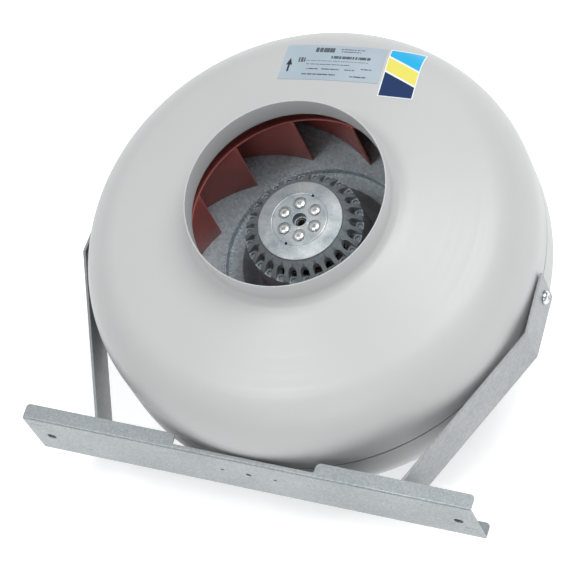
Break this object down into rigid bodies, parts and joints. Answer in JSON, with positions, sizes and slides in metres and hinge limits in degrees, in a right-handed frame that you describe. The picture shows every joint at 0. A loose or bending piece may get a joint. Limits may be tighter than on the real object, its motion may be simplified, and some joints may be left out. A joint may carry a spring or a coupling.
{
  "type": "inline duct fan",
  "caption": "Centrifugal fan in a round two-part steel housing with a spigot on each side, hung in a tilting sheet-steel bracket.",
  "frame": {"origin": "middle of the overall box at its bottom, in the plane of the outlet rim; the fan axis is parallel to Z, 3 mm towards +Y", "axes": "+Z along the fan axis from outlet to inlet; +X along the base channel; the base channel is on the -Y side"},
  "size_m": [0.3562, 0.348, 0.2068],
  "materials": {
    "powder_coat": "light grey satin powder coat",
    "black_rubber": "matt",
    "silver_foil": "silver-blue foil label",
    "printed_film": "printed film in light blue, pale yellow and navy bands",
    "galvanised_steel": "galvanised sheet with a fine spangle",
    "red_coat": "brick-red primer",
    "cast_aluminium": "as cast, slightly mottled",
    "steel": "plain",
    "zinc": "zinc plated",
    "copper_winding": "enamelled copper wire, varnished",
    "grey_plastic": "moulded",
    "black_plastic": "moulded"
  },
  "bodies": {
    "housing": {"front_shell": "powder_coat", "rear_shell": "powder_coat", "seam_seal": "black_rubber", "rating_label": "silver_foil", "colour_sticker": "printed_film", "motor_support": "galvanised_steel", "support_rivet_1": "steel", "support_rivet_2": "steel", "support_rivet_3": "steel", "stator_flange": "cast_aluminium", "motor_screw_1": "zinc", "motor_screw_2": "zinc", "motor_screw_3": "zinc", "stator_core": "steel", "winding_front": "copper_winding", "winding_rear": "copper_winding", "bearing_front": "steel", "bearing_rear": "steel", "run_capacitor": "grey_plastic", "capacitor_clip": "galvanised_steel", "clip_rivet": "steel", "motor_lead": "black_plastic", "capacitor_lead": "black_plastic", "cable_gland": "black_plastic", "gland_nut": "black_plastic", "pivot_screw_left": "zinc", "pivot_screw_right": "zinc", "rivet_nut_left": "zinc", "rivet_nut_right": "zinc"},
    "impeller": {"impeller_backplate": "galvanised_steel", "impeller_shroud": "red_coat", "blade_1": "red_coat", "blade_2": "red_coat", "blade_3": "red_coat", "blade_4": "red_coat", "blade_5": "red_coat", "blade_6": "red_coat", "blade_7": "red_coat", "blade_8": "red_coat", "blade_9": "red_coat", "blade_10": "red_coat", "blade_11": "red_coat", "rotor": "cast_aluminium", "rotor_rivet_1": "cast_aluminium", "rotor_rivet_2": "cast_aluminium", "rotor_rivet_3": "cast_aluminium", "rotor_rivet_4": "cast_aluminium", "rotor_rivet_5": "cast_aluminium", "rotor_rivet_6": "cast_aluminium", "shaft": "steel", "shaft_hub": "steel", "rotor_cage": "steel", "impeller_screw_1": "zinc", "impeller_screw_2": "zinc", "impeller_screw_3": "zinc", "impeller_screw_4": "zinc"},
    "bracket": {"base_channel": "galvanised_steel", "left_arm": "galvanised_steel", "right_arm": "galvanised_steel"}
  },
  "joints": [
    {"name": "impeller_spin", "type": "hinge", "parent": "housing", "child": "impeller", "pos_m": [0, 0.003, 0.1034], "axis": [0, 0, 1], "continuous": true},
    {"name": "bracket_tilt", "type": "hinge", "parent": "housing", "child": "bracket", "pos_m": [0, 0.0042, 0.0986], "axis": [1, 0, 0], "range_deg": [-45, 45]}
  ]
}
